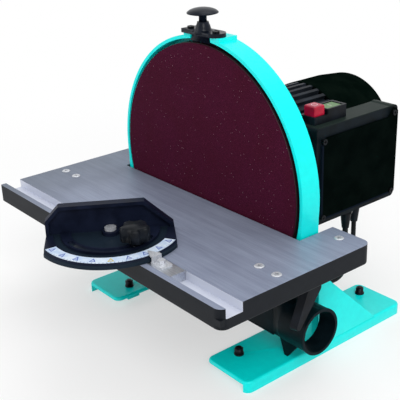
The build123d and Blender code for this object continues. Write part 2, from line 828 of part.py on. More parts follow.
# Sprung disc brake on top of the guard
spring_low = brake_z + 3.3
sleeve_r = 5.0
knob_low = brake_z + 21.6
brake_top = knob_low - brake_travel - gap
knob_edge = brake_z + 24.8
knob_top = brake_z + 29.9
knob_r = 27.5
with BuildPart() as brake_body:
    with BuildSketch(Plane.XY.offset(brake_z)):
        with Locations((12, brake_y + 4)):
            RectangleRounded(52, 34, 16)
        with Locations((-19, brake_y + 4)):
            RectangleRounded(38, 34, 2)
    extrude(amount=4.5)
    with BuildSketch(Plane.XY.offset(brake_z - 8)):
        with Locations((0, brake_y)):
            Rectangle(34, 10)
    extrude(amount=8.5)
    with BuildSketch(Plane.XZ.offset(-brake_y)):
        with BuildLine():
            Line((0, brake_z + 2), (17, brake_z + 2))
            Line((17, brake_z + 2), (17, brake_z + 5))
            Spline((17, brake_z + 5), (12.5, brake_z + 10.5), (9.35, brake_top),
                   tangents=[(-0.9, 0.5), (-0.15, 1)])
            Line((9.35, brake_top), (0, brake_top))
            Line((0, brake_top), (0, brake_z + 2))
        make_face()
    revolve(axis=Axis((0, brake_y, 0), (0, 0, 1)))
    with BuildSketch(Plane.XY.offset(spring_low)):
        with Locations((0, brake_y)):
            Circle(sleeve_r + run_fit)
    extrude(amount=30, mode=Mode.SUBTRACT)
    with BuildSketch(Plane.XY.offset(brake_z - 9)):
        with Locations((0, brake_y)):
            Circle(3.1)
    extrude(amount=30, mode=Mode.SUBTRACT)
    with BuildSketch(Plane.XY.offset(brake_z - 9)):
        with Locations((0, brake_y)):
            Rectangle(24, 8.6)
    extrude(amount=10.2, mode=Mode.SUBTRACT)
    with Locations((-27.5, brake_y, brake_z), (27.5, brake_y, brake_z)):
        Cylinder(2.1, 20, mode=Mode.SUBTRACT)
save(brake_body.part, "brake_body")

with BuildPart() as brake_knob:
    with BuildSketch(Plane.XZ.offset(-brake_y)):
        with BuildLine():
            Line((0, knob_low), (7, knob_low))
            Spline((7, knob_low), (18, knob_low + 0.6), (knob_r, knob_edge - 1.2))
            ThreePointArc((knob_r, knob_edge - 1.2), (knob_r + 0.5, knob_edge - 0.5),
                          (knob_r, knob_edge + 0.2))
            Spline((knob_r, knob_edge + 0.2), (15, knob_top - 1.2), (0, knob_top),
                   tangents=[(-1, 0.6), (-1, 0)])
            Line((0, knob_top), (0, knob_low))
        make_face()
    revolve(axis=Axis((0, brake_y, 0), (0, 0, 1)))
    with BuildSketch(Plane.XY.offset(brake_z + 10.5)):
        with Locations((0, brake_y)):
            Circle(sleeve_r)
    extrude(amount=knob_low - brake_z - 9.5)
    with BuildSketch(Plane.XY.offset(brake_z)):
        with Locations((0, brake_y)):
            Circle(4.3)
    extrude(amount=25, mode=Mode.SUBTRACT)
    with BuildSketch(Plane.XY.offset(brake_z + 24)):
        with Locations((0, brake_y)):
            Circle(2.9)
    extrude(amount=3.5, mode=Mode.SUBTRACT)
save(brake_knob.part, "brake_knob")

shoe_low = axis_z + disc_r + brake_travel + 0.2
with BuildPart() as brake_stem:
    with BuildSketch(Plane.XY.offset(shoe_low + 2.4)):
        with Locations((0, brake_y)):
            Circle(2.9)
    extrude(amount=brake_z + 27.5 - shoe_low - 2.4)
    with BuildSketch(Plane.XY.offset(shoe_low + 1)):
        with Locations((0, brake_y)):
            Rectangle(20, 8)
    extrude(amount=1.4)
save(brake_stem.part, "brake_stem")

with BuildPart() as brake_shoe:
    with BuildSketch(Plane.XY.offset(shoe_low - 1)):
        with Locations((0, brake_y)):
            Rectangle(20, 8)
    extrude(amount=2)
    with BuildSketch(across(brake_y - 10)):
        with Locations((0, shoe_low - disc_r)):
            Circle(disc_r)
    extrude(amount=-20, mode=Mode.SUBTRACT)
save(brake_shoe.part, "brake_shoe")

spring_wire = 0.9
spring_rad = 3.75
spring_top = brake_z + 25 - 0.05
spring_turns = 8
with BuildPart() as brake_spring:
    with BuildLine() as spring_line:
        Helix(pitch=(spring_top - spring_low - spring_wire - 0.1) / spring_turns,
              height=spring_top - spring_low - spring_wire - 0.1, radius=spring_rad,
              center=(0, brake_y, spring_low + spring_wire / 2 + 0.05))
    with BuildSketch(Plane(origin=spring_line.line @ 0, z_dir=spring_line.line % 0)):
        Circle(spring_wire / 2)
    sweep(path=spring_line.line)
print("brake spring pitch",
      round((spring_top - spring_low - spring_wire - 0.1) / spring_turns, 2),
      "pressed", round((spring_top - spring_low - brake_travel - 1) / spring_turns, 2))
save(brake_spring.part, "brake_spring")

with BuildPart() as brake_screws:
    for x in (-27.5, 27.5):
        with BuildSketch(Plane.XY.offset(brake_z - 7)):
            with Locations((x, brake_y)):
                Circle(1.85)
        extrude(amount=11.6)
        with BuildSketch(Plane.XY.offset(brake_z + 4.5)):
            with Locations((x, brake_y)):
                Circle(4)
                Rectangle(5, 1, mode=Mode.SUBTRACT)
                Rectangle(1, 5, mode=Mode.SUBTRACT)
        extrude(amount=2.4)
save(brake_screws.part, "brake_screws")

# Table casting with skirt, ribs, slot and screw seats
deck_low = table_top - deck_t
skirt_low = table_top - edge_h
pad_low = deck_low - 6
pad_spots = [(175, -27.3), (200, -27.3), (186, 78)]
outline = [(-table_x, table_front), (table_x, table_front), (table_x, wing_back),
           (notch_x, wing_back), (notch_x, table_back), (-notch_x, table_back),
           (-notch_x, wing_back), (-table_x, wing_back)]
with BuildPart() as table:
    with BuildSketch(Plane.XY.offset(deck_low)):
        with BuildLine():
            Polyline(*outline, close=True)
        make_face()
    extrude(amount=deck_t)
    with BuildSketch(Plane.XY.offset(skirt_low)):
        with BuildLine():
            Polyline(*outline, close=True)
        make_face()
        with Locations((0, (table_front + skirt_t + table_back) / 2)):
            Rectangle(2 * (table_x - skirt_t), table_back - table_front - skirt_t + 0.01,
                      mode=Mode.SUBTRACT)
        for s in (-1, 1):
            with Locations((s * (notch_x + table_x - skirt_t) / 2, (wing_back - skirt_t) / 2)):
                Rectangle(table_x - skirt_t - notch_x + 0.02, wing_back - skirt_t,
                          mode=Mode.SUBTRACT)
    extrude(amount=edge_h - deck_t)
    upright = table.edges().filter_by(Axis.Z).filter_by(
        lambda e: e.center().X > table_x - 1 and e.length > 20)
    fillet(upright, 10)
    low_rim = table.edges().filter_by(lambda e: abs(e.center().Z - skirt_low) < 0.01
                                      and (e.center().X > table_x - 5.5
                                           or e.center().Y < table_front + 0.5))
    fillet(low_rim.filter_by(lambda e: e.center().X > table_x - 4
                             or e.center().Y < table_front + 0.5), 2)
    with BuildSketch(Plane.XY.offset(deck_low - 6)):
        with Locations((0, slot_front + slot_w / 2)):
            Rectangle(2 * (table_x - 1), slot_w + 14)
        with Locations((-110, -45), (0, -45), (110, -45)):
            Rectangle(5, 100)
        with Locations((0, -30)):
            Rectangle(2 * (table_x - 1), 5)
    extrude(amount=7)
    with BuildSketch(Plane.XY.offset(table_top - slot_depth)):
        with Locations((0, slot_front + slot_w / 2)):
            Rectangle(2 * table_x + 10, slot_w)
    extrude(amount=slot_depth + 1, mode=Mode.SUBTRACT)
    with BuildSketch(Plane.XY.offset(pad_low - 1)):
        for s in (-1, 1):
            with Locations((s * 187.6, 24)):
                Rectangle(46, 134)
    extrude(amount=deck_low - pad_low + 1, mode=Mode.SUBTRACT)
    for s in (-1, 1):
        for x, y in pad_spots:
            with Locations((s * x, y, table_top)):
                Cylinder(2.6, 60, mode=Mode.SUBTRACT)
            with BuildSketch(Plane.XY.offset(table_top)):
                with Locations((s * x, y)):
                    Circle(5.6)
            extrude(amount=-3, taper=45, mode=Mode.SUBTRACT)
save(table.part, "table")

with BuildPart() as table_screws:
    for s in (-1, 1):
        for x, y in pad_spots:
            with BuildSketch(Plane.XY.offset(table_top + 0.1)):
                with Locations((s * x, y)):
                    Circle(5.4)
            extrude(amount=-2.9, taper=45)
            with BuildSketch(Plane.XY.offset(pad_low)):
                with Locations((s * x, y)):
                    Circle(2.5)
            extrude(amount=deck_t + 5)
            with BuildSketch(Plane.XY.offset(table_top + 0.1)):
                with Locations((s * x, y)):
                    Circle(5.4)
            extrude(amount=0.9, taper=50)
            with BuildSketch(Plane.XY.offset(table_top - 1.6)):
                with Locations((s * x, y)):
                    Rectangle(5, 1.1)
                    Rectangle(1.1, 5)
            extrude(amount=4, mode=Mode.SUBTRACT)
save(table_screws.part, "table_screws")

# Trunnions under the wings, pivot pins, lock studs and levers
web_in = side_x + 5.4
web_out = web_in + 8
lock_reach = math.hypot(lock_y - pivot_y, lock_z - pivot_z)
lock_turn = math.degrees(math.atan2(lock_z - pivot_z, lock_y - pivot_y))
for s, hand in ((1, "right"), (-1, "left")):
    with BuildPart() as trunnion:
        with BuildSketch(side(s * web_in)):
            with BuildLine():
                Polyline((-36, deck_low), (88, deck_low), (88, pad_low), (66, 126),
                         (20, 108), (-12, pad_low - 4), (-36, pad_low), close=True)
            make_face()
            with Locations((pivot_y, pivot_z)):
                Circle(33)
            with Locations((30, deck_low + 50)):
                Rectangle(200, 100, mode=Mode.SUBTRACT)
            with Locations((pivot_y, pivot_z)):
                Circle(pin_d / 2 + run_fit, mode=Mode.SUBTRACT)
            with BuildLine():
                arc_slot((pivot_y, pivot_z), lock_reach, lock_turn + 1, -47, stud_d + 0.8)
            make_face(mode=Mode.SUBTRACT)
        extrude(amount=s * 8)
        with BuildSketch(Plane.XY.offset(pad_low)):
            with Locations((s * (web_in + 22), -27)):
                RectangleRounded(44, 20, 3)
            with Locations((s * (web_in + 15), 78)):
                RectangleRounded(30, 20, 3)
        extrude(amount=deck_low - pad_low)
        for x, y in pad_spots:
            with Locations((s * x, y, deck_low)):
                Cylinder(2.5, 40, mode=Mode.SUBTRACT)
    save(trunnion.part, f"trunnion_{hand}")
    with BuildPart() as lever:
        with BuildSketch(side(s * (web_out + 0.4))):
            with Locations((lock_y, lock_z)):
                Circle(10.5)
        extrude(amount=s * 12)
        with BuildSketch(side(s * (web_out + 11))):
            with BuildLine():
                lean = math.degrees(math.atan2(81 - lock_z, 12 - lock_y))
                for turn in (90, -90):
                    wide = polar(11.5, lean + turn)
                    thin = polar(5.5, lean + turn)
                    Line((lock_y + wide[0], lock_z + wide[1]), (12 + thin[0], 81 + thin[1]))
                w1, w2 = polar(11.5, lean + 90), polar(11.5, lean - 90)
                t1, t2 = polar(5.5, lean + 90), polar(5.5, lean - 90)
                back_of = polar(-11.5, lean)
                fore_of = polar(5.5, lean)
                ThreePointArc((lock_y + w1[0], lock_z + w1[1]),
                              (lock_y + back_of[0], lock_z + back_of[1]),
                              (lock_y + w2[0], lock_z + w2[1]))
                ThreePointArc((12 + t1[0], 81 + t1[1]), (12 + fore_of[0], 81 + fore_of[1]),
                              (12 + t2[0], 81 + t2[1]))
            make_face()
        extrude(amount=s * 9, taper=12)
        with BuildSketch(side(s * (web_out - 1))):
            with Locations((lock_y, lock_z)):
                Circle(stud_d / 2)
        extrude(amount=s * 18, mode=Mode.SUBTRACT)
    save(lever.part, f"lock_lever_{hand}")

with BuildPart() as pivot_pins:
    for s in (-1, 1):
        with BuildSketch(side(s * (side_x - leg_t))):
            with Locations((pivot_y, pivot_z)):
                Circle(pin_d / 2)
        extrude(amount=s * (web_out + 0.4 - side_x + leg_t))
        with BuildSketch(side(s * (web_out + 0.4))):
            with Locations((pivot_y, pivot_z)):
                Circle(8)
                RegularPolygon(3, 6, mode=Mode.SUBTRACT)
        extrude(amount=s * 4)
        fillet(pivot_pins.edges().filter_by(GeomType.CIRCLE).filter_by(
            lambda e, s=s: s * e.center().X > web_out + 4), 1)
save(pivot_pins.part, "pivot_pins")

with BuildPart() as lock_studs:
    for s in (-1, 1):
        with BuildSketch(side(s * (side_x - leg_t))):
            with Locations((lock_y, lock_z)):
                Circle(stud_d / 2)
        extrude(amount=s * (web_out + 15 - side_x + leg_t))
save(lock_studs.part, "lock_studs")

# Miter gauge: bar, swinging head with fence, scale, knob and pointer
bar_low = table_top - slot_depth + 0.4
bar_top = table_top - 0.2
bar_w = 19.9
head_low = table_top + 0.3
boss_high = 7.5
scale_z = axis_z - 28.5
arc_r = 48.0
with BuildPart() as miter_bar:
    with BuildSketch(Plane.XY.offset(bar_low)):
        with Locations((35, gauge_y)):
            RectangleRounded(194, bar_w, 2)
    extrude(amount=bar_top - bar_low)
    for x, r in ((gauge_x, 3), (gauge_x + arc_r, 3), (105, 2.5)):
        with Locations((x, gauge_y, bar_top)):
            Cylinder(r, 30, mode=Mode.SUBTRACT)
save(miter_bar.part, "miter_bar")

head = Plane(origin=(gauge_x, gauge_y, head_low), x_dir=(*polar(1, gauge_turn), 0),
             z_dir=(0, 0, 1))
fence_h = axis_z + 4 - head_low
with BuildPart() as miter_head:
    with BuildSketch(head):
        Circle(81)
        with Locations((0, 62)):
            Rectangle(200, 100, mode=Mode.SUBTRACT)
        for s in (-1, 1):
            with Locations((s * 120, 0)):
                Rectangle(100, 300, mode=Mode.SUBTRACT)
    extrude(amount=3)
    with BuildSketch(head.offset(3)):
        Circle(78.4)
        Circle(62, mode=Mode.SUBTRACT)
        with Locations((0, 62)):
            Rectangle(200, 100, mode=Mode.SUBTRACT)
        for s in (-1, 1):
            with Locations((s * 120, 0)):
                Rectangle(100, 300, mode=Mode.SUBTRACT)
    extrude(amount=scale_z - head_low - 3)
    outer = miter_head.edges().filter_by(GeomType.CIRCLE).filter_by(
        lambda e: abs(e.radius - 78.4) < 0.1 and e.center().Z > scale_z - 0.1)
    chamfer(outer, 1.9)
    fence_face = Plane(origin=head.from_local_coords((0, 12, 0)),
                       x_dir=(*polar(-1, gauge_turn), 0), z_dir=(*polar(1, gauge_turn + 90), 0))
    with BuildSketch(fence_face):
        with BuildLine():
            Polyline((70, 0), (70, fence_h - 16.5), (54.5, fence_h), (-38.6, fence_h),
                     (-69.5, fence_h - 28.5), (-69.5, 0), close=True)
        make_face()
    extrude(amount=-11)
    with BuildSketch(fence_face.offset(-5)):
        with BuildLine():
            Polyline((66, 3), (66, fence_h - 18), (53, fence_h - 4), (-37, fence_h - 4),
                     (-65.5, fence_h - 30), (-65.5, 3), close=True)
        make_face()
    extrude(amount=-6.01, mode=Mode.SUBTRACT)
    with BuildSketch(head.offset(3)):
        Circle(54)
        Circle(42.5, mode=Mode.SUBTRACT)
        with Locations((0, 62)):
            Rectangle(200, 112, mode=Mode.SUBTRACT)
    extrude(amount=3.4)
    with BuildSketch(head.offset(2)):
        Circle(9.5)
    extrude(amount=boss_high - 2)
    with BuildSketch(head):
        with BuildLine():
            arc_slot((0, 0), arc_r, -151.5, 123, 6.8)
        make_face()
        Circle(3 + run_fit)
    extrude(amount=12, both=True, mode=Mode.SUBTRACT)
save(miter_head.part, "miter_head")

with BuildPart() as miter_scale:
    with BuildSketch(head.offset(scale_z - head_low)):
        Circle(76.2)
        Circle(64, mode=Mode.SUBTRACT)
        with BuildLine():
            Polyline((0, 0), polar(200, -26), polar(200, 20), polar(200, 90), polar(200, 160),
                     polar(200, -154), close=True)
        make_face(mode=Mode.SUBTRACT)
    extrude(amount=0.4)
save(miter_scale.part, "miter_scale")

with BuildPart() as miter_pivot:
    with BuildSketch(Plane.XY.offset(bar_low)):
        with Locations((gauge_x, gauge_y)):
            Circle(2.95)
    extrude(amount=head_low + 7.9 - bar_low)
    with BuildSketch(Plane.XY.offset(head_low + 7.8)):
        with Locations((gauge_x, gauge_y)):
            Circle(6.5)
            Rectangle(15, 1.4, rotation=20, mode=Mode.SUBTRACT)
    extrude(amount=3)
save(miter_pivot.part, "miter_pivot")

knob_x = gauge_x + arc_r
with BuildPart() as miter_stud:
    with BuildSketch(Plane.XY.offset(bar_low)):
        with Locations((knob_x, gauge_y)):
            Circle(3)
    extrude(amount=24)
save(miter_stud.part, "miter_stud")

knob_base = head_low + boss_high + gap
with BuildPart() as miter_knob:
    with BuildSketch(Plane.XY.offset(knob_base)):
        with Locations((knob_x, gauge_y)):
            Circle(9)
    extrude(amount=6)
    with BuildSketch(Plane.XY.offset(knob_base + 5.5)) as lobes:
        with Locations((knob_x, gauge_y)):
            Circle(20)
            with PolarLocations(25, 5):
                Circle(9, mode=Mode.SUBTRACT)
        fillet(lobes.vertices(), 3)
    extrude(amount=15)
    chamfer(miter_knob.faces().sort_by(Axis.Z)[-1].edges(), 2)
    with BuildSketch(Plane.XY.offset(knob_base - 1)):
        with Locations((knob_x, gauge_y)):
            Circle(3)
    extrude(amount=16.5, mode=Mode.SUBTRACT)
save(miter_knob.part, "miter_knob")

with BuildPart() as miter_pointer:
    with BuildSketch(Plane.XY.offset(bar_top)):
        with Locations((105, gauge_y)):
            RectangleRounded(20, 14, 1.5)
            Circle(2.6, mode=Mode.SUBTRACT)
    extrude(amount=1.5)
    with BuildSketch(side(96)):
        with Locations((gauge_y, bar_top + 3.85)):
            Rectangle(12, 7.7)
    extrude(amount=1.5)
    with BuildSketch(Plane.XY.offset(bar_top + 6.5)):
        with BuildLine():
            Polyline((97, gauge_y - 6), (97, gauge_y + 6), (94, gauge_y + 6),
                     (82, gauge_y + 0.5), (82, gauge_y - 0.5), (94, gauge_y - 6), close=True)
        make_face()
    extrude(amount=1.2)
save(miter_pointer.part, "miter_pointer")

with BuildPart() as pointer_bolt:
    with BuildSketch(Plane.XY.offset(bar_low)):
        with Locations((105, gauge_y)):
            Circle(2.45)
    extrude(amount=bar_top + 1.6 - bar_low)
    with BuildSketch(Plane.XY.offset(bar_top + 1.5)):
        with Locations((105, gauge_y)):
            Circle(5)
    extrude(amount=0.9)
    with BuildSketch(Plane.XY.offset(bar_top + 2.4)):
        with Locations((105, gauge_y)):
            RegularPolygon(4.3, 6)
    extrude(amount=3.2)
save(pointer_bolt.part, "pointer_bolt")

# Rear foot bolts with nuts
with BuildPart() as foot_bolts:
    for s in (-1, 1):
        with BuildSketch(Plane.XY.offset(0.2)):
            with Locations((s * bolt_x, rear_bolt_y)):
                Circle(foot_hole_d / 2 - 0.5)
        extrude(amount=foot_t + 12)
    fillet(foot_bolts.edges().group_by(Axis.Z)[-1], 0.8)
save(foot_bolts.part, "foot_bolts")

with BuildPart() as foot_nuts:
    for s in (-1, 1):
        with BuildSketch(Plane.XY.offset(foot_t)):
            with Locations((s * bolt_x, rear_bolt_y)):
                Circle(8.5)
                Circle(foot_hole_d / 2 - 0.5, mode=Mode.SUBTRACT)
        extrude(amount=1.6)
        with BuildSketch(Plane.XY.offset(foot_t + 1.6)):
            with Locations((s * bolt_x, rear_bolt_y)):
                RegularPolygon(7.5, 6)
                Circle(foot_hole_d / 2 - 0.5, mode=Mode.SUBTRACT)
        extrude(amount=6.5)
save(foot_nuts.part, "foot_nuts")
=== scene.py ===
import bmesh
import bpy
import json
import math
import numpy as np
from mathutils import Matrix, Vector

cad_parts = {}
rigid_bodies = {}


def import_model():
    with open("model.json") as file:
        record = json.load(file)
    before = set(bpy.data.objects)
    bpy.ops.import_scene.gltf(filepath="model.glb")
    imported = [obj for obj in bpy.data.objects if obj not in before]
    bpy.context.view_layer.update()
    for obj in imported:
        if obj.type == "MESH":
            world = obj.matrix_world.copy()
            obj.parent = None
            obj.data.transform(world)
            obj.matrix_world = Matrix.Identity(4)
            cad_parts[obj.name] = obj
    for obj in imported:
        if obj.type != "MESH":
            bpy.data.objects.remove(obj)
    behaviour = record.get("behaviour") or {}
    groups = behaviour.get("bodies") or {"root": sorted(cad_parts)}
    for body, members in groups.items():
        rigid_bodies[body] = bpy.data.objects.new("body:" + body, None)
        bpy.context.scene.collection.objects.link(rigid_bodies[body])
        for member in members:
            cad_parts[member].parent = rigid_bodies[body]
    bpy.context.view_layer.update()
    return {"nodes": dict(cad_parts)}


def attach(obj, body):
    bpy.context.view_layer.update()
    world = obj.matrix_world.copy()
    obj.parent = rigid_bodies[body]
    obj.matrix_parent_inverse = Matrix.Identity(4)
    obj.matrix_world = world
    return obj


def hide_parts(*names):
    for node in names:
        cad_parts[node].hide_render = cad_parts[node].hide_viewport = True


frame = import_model()
nodes = frame["nodes"]
mm = 0.001

# The camera that took the photo: place, turn about its axis and lens
camera = {"azimuth": 51.68, "elevation": 22.76, "roll": -2.26, "lens": 74.36,
          "place": (0.71670, -0.52747, 0.54353)}
cord = {"exit": (104, 182.5, 113.6), "drop": ((104, 182.5, 78), (90, 198, 34)),
        "diameter": 7, "length": 1.74, "coilX": -20, "coilY": 150, "outer": 50, "pitch": 7.8,
        "turns": 6.5, "low": 4.6, "tail": 12, "perTurn": 16}
light = {"world": 0.62, "floorLift": 0.5, "floorHalf": 4.0, "aim": (0, 0.05, 0.15)}
lamps = {"key": {"place": (1.7, -0.9, 1.6), "size": 1.2, "power": 26},
         "fill": {"place": (-1.4, -1.6, 1.0), "size": 1.4, "power": 9},
         "top": {"place": (0.1, 0.6, 2.2), "size": 1.6, "power": 12}}
axisZ = 195.0
gauge = {"x": 12.5, "y": -96.8, "knobOut": 48.0, "knobScale": 0.8, "knobHub": 4.5}

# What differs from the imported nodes, in millimetres
castingForm = {"plate": 10.0, "inner": 88.0, "wall": 153.0, "boss": 101.0, "bossHalf": 9.0,
               "footY": (-34, 229), "pads": ((-39, -29.5), (33.0, 76)), "padTop": 358,
               "padY": (40, 80), "rimR": 161.05, "ribEnd": 146.0, "ribOut": 168,
               "ribTurn": (36, 54), "ribY": (74.05, 100), "edge": 1.3}
coverForm = {"window": (148, 164.5, 52, 82, 28, 62), "edge": 0.6}
boltForm = {"apart": 207.5, "scale": 0.68, "top": 23.5}
brakeForm = {"y": 53.0, "z": 357.0, "buttonR": 17.9, "stemR": 4.5, "left": 29.5, "right": 31.4,
             "front": 44, "depth": 22, "neckR": 4.7, "coneScale": 0.42}
brakeCad = {"buttonR": 28, "stemR": 5, "neckR": 5.1, "boreR": 5.2, "half": 38, "front": 40,
            "depth": 34, "screwX": 27.5}


def placeCamera():
    az, el, roll = (math.radians(camera[k]) for k in ("azimuth", "elevation", "roll"))
    back = Vector((math.sin(az) * math.cos(el), -math.cos(az) * math.cos(el), math.sin(el)))
    right = Vector((0, 0, 1)).cross(back).normalized()
    up = back.cross(right)
    right2 = math.cos(roll) * right + math.sin(roll) * up
    up2 = -math.sin(roll) * right + math.cos(roll) * up
    data = bpy.data.cameras.new("camera")
    data.lens, data.sensor_width = camera["lens"], 36.0
    data.clip_start, data.clip_end = 0.05, 50.0
    obj = bpy.data.objects.new("camera", data)
    turn = Matrix((right2, up2, back)).transposed().to_4x4()
    obj.matrix_world = Matrix.Translation(camera["place"]) @ turn
    bpy.context.scene.collection.objects.link(obj)
    bpy.context.scene.camera = obj


placeCamera()
print("camera placed")


class Val:
    def __init__(self, tree, out):
        self.tree, self.out = tree, out

    def __add__(self, o): return self.tree.math("ADD", self, o)
    def __radd__(self, o): return self.tree.math("ADD", o, self)
    def __sub__(self, o): return self.tree.math("SUBTRACT", self, o)
    def __rsub__(self, o): return self.tree.math("SUBTRACT", o, self)
    def __mul__(self, o): return self.tree.math("MULTIPLY", self, o)
    def __rmul__(self, o): return self.tree.math("MULTIPLY", o, self)
    def __truediv__(self, o): return self.tree.math("DIVIDE", self, o)
    def __gt__(self, o): return self.tree.math("GREATER_THAN", self, o)
    def __lt__(self, o): return self.tree.math("LESS_THAN", self, o)
    def __abs__(self): return self.tree.math("ABSOLUTE", self)


class Shade:
    def __init__(self, name, world=None):
        self.mat = world or bpy.data.materials.new(name)
        self.mat.use_nodes = True
        self.tree = self.mat.node_tree
        self.tree.nodes.clear()
        kind = "ShaderNodeOutputWorld" if world else "ShaderNodeOutputMaterial"
        self.end = self.tree.nodes.new(kind)

    def make(self, kind, settings, sockets):
        n = self.tree.nodes.new(kind)
        for key, value in settings.items():
            setattr(n, key, value)
        for key, value in sockets.items():
            if isinstance(value, Val):
                self.tree.links.new(value.out, n.inputs[key])
            else:
                n.inputs[key].default_value = value
        return n

    def math(self, operation, *args):
        n = self.make("ShaderNodeMath", {"operation": operation}, dict(enumerate(args)))
        return Val(self, n.outputs[0])

    def place(self):                                    # object coordinates in millimetres
        n = self.make("ShaderNodeTexCoord", {}, {})
        v = self.make("ShaderNodeVectorMath", {"operation": "SCALE"},
                      {0: Val(self, n.outputs["Object"]), "Scale": 1000.0})
        return Val(self, v.outputs[0])

    def stretch(self, vector, factors):
        n = self.make("ShaderNodeVectorMath", {"operation": "MULTIPLY"},
                      {0: vector, 1: factors})
        return Val(self, n.outputs[0])

    def split(self, vector):
        n = self.make("ShaderNodeSeparateXYZ", {}, {0: vector})
        return [Val(self, n.outputs[k]) for k in range(3)]

    def noise(self, vector, size, detail=3.0, rough=0.55):  # size is one blob in millimetres
        n = self.make("ShaderNodeTexNoise", {},
                      {"Vector": vector, "Scale": 1.0 / size, "Detail": detail,
                       "Roughness": rough})
        return Val(self, n.outputs[0])

    def cells(self, vector, size, feature="F1", out="Distance"):
        n = self.make("ShaderNodeTexVoronoi", {"feature": feature},
                      {"Vector": vector, "Scale": 1.0 / size})
        return Val(self, n.outputs[out])

    def step(self, value, low, high, to=(0.0, 1.0)):    # smooth ramp from low to high
        n = self.make("ShaderNodeMapRange", {"interpolation_type": "SMOOTHSTEP"},
                      {"Value": value, "From Min": low, "From Max": high,
                       "To Min": to[0], "To Max": to[1]})
        return Val(self, n.outputs[0])

    def mix(self, factor, a, b):                        # colours a to b
        a, b = (c if isinstance(c, Val) else (*c, 1.0) for c in (a, b))
        n = self.make("ShaderNodeMix", {"data_type": "RGBA"}, {0: factor, 6: a, 7: b})
        return Val(self, n.outputs[2])

    def bump(self, height, depth, strength=1.0):        # depth in millimetres
        n = self.make("ShaderNodeBump", {}, {"Height": height, "Distance": depth * mm,
                                             "Strength": strength})
        return Val(self, n.outputs[0])

    def finish(self, base, rough, metal=0.0, normal=None, spec=0.5, coat=0.0, coatRough=0.1):
        given = {"Base Color": base if isinstance(base, Val) else (*base, 1.0),
                 "Roughness": rough, "Metallic": metal, "Specular IOR Level": spec,
                 "Coat Weight": coat, "Coat Roughness": coatRough}
        if normal is not None:
            given["Normal"] = normal
        n = self.make("ShaderNodeBsdfPrincipled", {}, given)
        self.tree.links.new(n.outputs[0], self.end.inputs[0])
        return self.mat


def srgb(r, g, b):
    def lin(v):
        v /= 255.0
        return v / 12.92 if v <= 0.04045 else ((v + 0.055) / 1.055) ** 2.4
    return (lin(r), lin(g), lin(b))


def paintMat():
    s = Shade("cyanEnamel")
    p = s.place()
    cast = s.noise(p, 9, 4)                              # slow waves of the casting under paint
    peel = s.noise(p, 0.9, 2)                            # orange peel
    base = s.mix(s.step(cast, 0.3, 0.75), srgb(0, 232, 228), srgb(2, 238, 233))
    rough = 0.32 + 0.08 * s.noise(p, 30, 3)
    return s.finish(base, rough, normal=s.bump(cast * 0.3 + peel * 0.25, 0.14, 0.5),
                    spec=0.2, coat=0.1, coatRough=0.15)


def gritMat():
    s = Shade("abrasiveGrit")
    p = s.place()
    grain = s.cells(p, 0.9)
    fine = s.noise(p, 0.7, 4, 0.7)
    patch = s.noise(p, 45, 4)
    pick = s.split(s.cells(p, 1.2, "F1", "Color"))
    near = s.step(s.cells(p, 1.2), 0.34, 0.12)
    speck = near * (pick[0] > 0.62) * pick[1]
    glint = near * (pick[2] > 0.985)
    base = s.mix(s.step(fine, 0.3, 0.7), srgb(46, 8, 28), srgb(76, 20, 46))
    base = s.mix(s.step(patch, 0.35, 0.7) * 0.45, base, srgb(58, 12, 28))
    base = s.mix(s.step(grain, 0.45, 0.05) * 0.25, base, srgb(96, 32, 58))
    base = s.mix(speck * 0.8, base, srgb(138, 60, 92))
    base = s.mix(glint * 0.7, base, srgb(220, 180, 196))
    return s.finish(base, 0.85, normal=s.bump(grain * 0.7 + fine * 0.5, 0.35, 0.7), spec=0.05)


def discMat():
    s = Shade("turnedDisc")
    p = s.place()
    x, y, z = s.split(p)
    radius = s.math("SQRT", x * x + (z - axisZ) * (z - axisZ))
    rings = s.noise(s.stretch(p, (0.2, 30.0, 0.2)), 8, 2)
    lip = (y < 47.4) * (radius > 151.5)                  # bright worn lip round the sheet
    worn = s.mix(s.step(s.noise(p, 5, 3), 0.4, 0.6), srgb(120, 92, 96), srgb(206, 184, 184))
    base = s.mix(lip, srgb(40, 16, 22), worn)
    base = s.mix((1 - lip) * s.step(rings, 0.4, 0.7) * 0.4, base, srgb(34, 14, 20))
    return s.finish(base, 0.42 + 0.2 * rings, metal=0.55, normal=s.bump(rings, 0.05, 0.5))


def tableMat():
    s = Shade("milledTable")
    p = s.place()
    x, y, z = s.split(p)
    top = z > 160.75
    slot = (abs(y + 96.8) < 10.2) * (z > 150.3)
    metal = s.math("MAXIMUM", top, slot)
    lines = s.noise(s.stretch(p, (0.025, 2.2, 1.0)), 1.0, 4, 0.6)     # cutter lines along X
    broad = s.noise(s.stretch(p, (0.05, 1.0, 1.0)), 9, 3)
    swirl = s.noise(p, 60, 3, 0.5)
    smear = s.noise(s.stretch(p, (0.3, 1.0, 1.0)), 14, 4)
    tone = (s.step(swirl, 0.3, 0.7) * 0.2 + s.step(broad, 0.3, 0.7) * 0.3
            + s.step(lines, 0.3, 0.7) * 0.5)
    bright = s.mix(tone, srgb(122, 129, 150), srgb(158, 167, 188))
    paintedLeftShade = s.step(x + s.noise(p, 40, 3) * 60, -20, -190)           # painted shade, darker towards the left
    bright = s.mix(paintedLeftShade * 0.55, bright, srgb(84, 92, 98))
    # painted highlight: the slot's walls and floor are painted lighter than the milled top
    bright = s.mix(slot * (1 - top), bright, srgb(206, 210, 222))
    black = s.mix(s.noise(p, 6, 3), srgb(15, 18, 23), srgb(24, 28, 34))
    base = s.mix(metal, black, bright)
    rough = metal * (0.42 + 0.14 * smear) + (1 - metal) * (0.40 + 0.15 * smear)
    height = metal * lines * 0.12 + (1 - metal) * s.noise(p, 1.4, 3) * 0.6
    return s.finish(base, rough, metal=metal * 0.4, normal=s.bump(height, 0.12, 0.5), spec=0.12)


